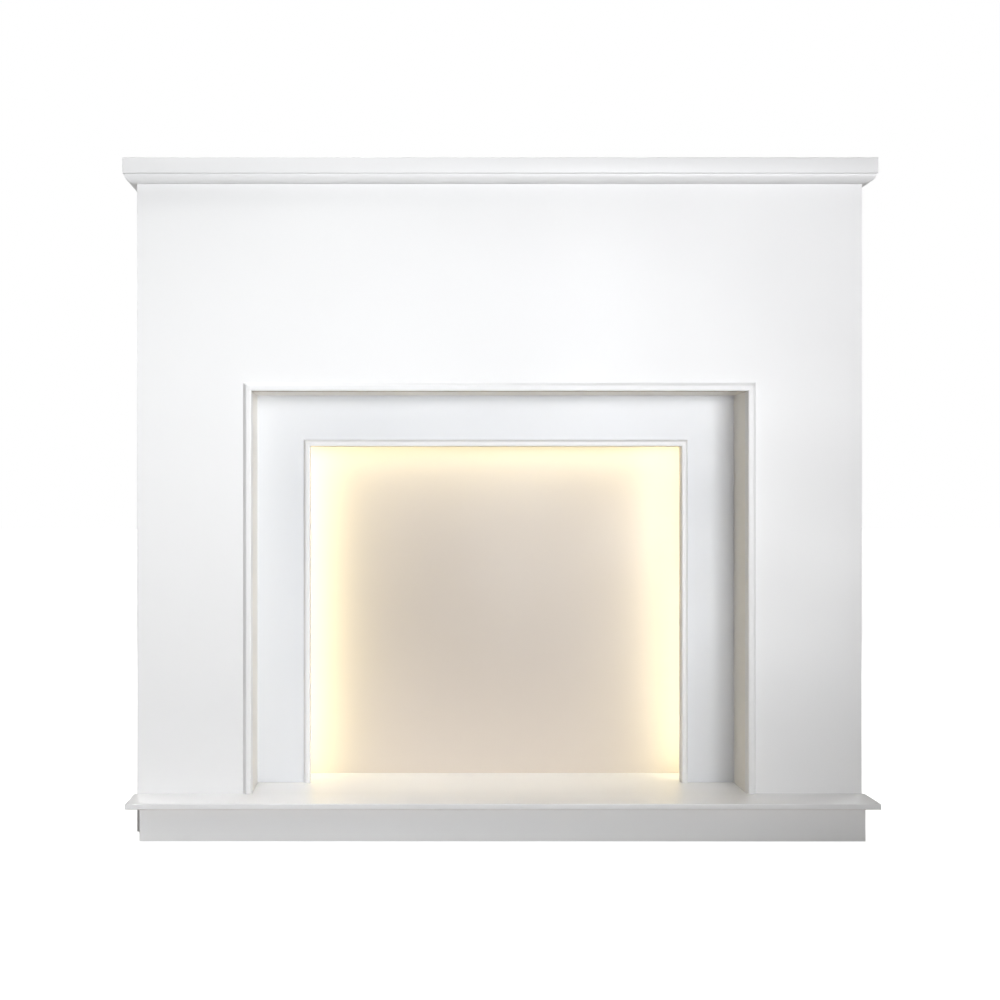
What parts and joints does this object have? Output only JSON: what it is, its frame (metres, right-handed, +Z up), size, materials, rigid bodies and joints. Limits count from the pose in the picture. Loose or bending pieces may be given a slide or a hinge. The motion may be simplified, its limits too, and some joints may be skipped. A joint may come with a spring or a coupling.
{
  "type": "fireplace mantelpiece",
  "caption": "White mantelpiece with a plain moulded shelf, a stepped recess edged with raised beads, a niche back-lit from its hidden edges and a low hearth slab on a plinth.",
  "frame": {"origin": "on the floor, at the middle of the overall width and depth", "axes": "+X to the right seen from the front, +Y towards the wall, +Z up"},
  "size_m": [1.5, 0.36, 1.343],
  "materials": {
    "satin_white_paint": "satin white paint rolled on primed fibreboard",
    "warm_greige_paint": "satin greige paint rolled on primed fibreboard",
    "planed_pine": "planed, unpainted",
    "opal_diffuser": "opal diffuser, lit warm white",
    "black_nylon": "moulded black nylon",
    "anodised_aluminium": "satin anodised extrusion",
    "zinc_plated_steel": "bright zinc plate"
  },
  "bodies": {
    "root": {"mantel_shelf": "satin_white_paint", "bed_mould_front": "satin_white_paint", "bed_mould_left": "satin_white_paint", "bed_mould_right": "satin_white_paint", "front_panel": "satin_white_paint", "side_left": "satin_white_paint", "side_right": "satin_white_paint", "outer_bead_left": "satin_white_paint", "outer_bead_top": "satin_white_paint", "outer_bead_right": "satin_white_paint", "lining_left": "satin_white_paint", "lining_right": "satin_white_paint", "lining_head": "satin_white_paint", "inner_surround": "satin_white_paint", "inner_bead_left": "satin_white_paint", "inner_bead_top": "satin_white_paint", "inner_bead_right": "satin_white_paint", "niche_back": "warm_greige_paint", "hearth_slab": "satin_white_paint", "plinth_front": "satin_white_paint", "plinth_end_left": "satin_white_paint", "plinth_end_right": "satin_white_paint", "hearth_bearer_front": "planed_pine", "hearth_bearer_back": "planed_pine", "back_rail_top": "planed_pine", "back_rail_left": "planed_pine", "back_rail_right": "planed_pine", "light_bar_left": "opal_diffuser", "light_bar_top": "opal_diffuser", "light_bar_right": "opal_diffuser", "cable_gland": "black_nylon"}
  },
  "joints": []
}
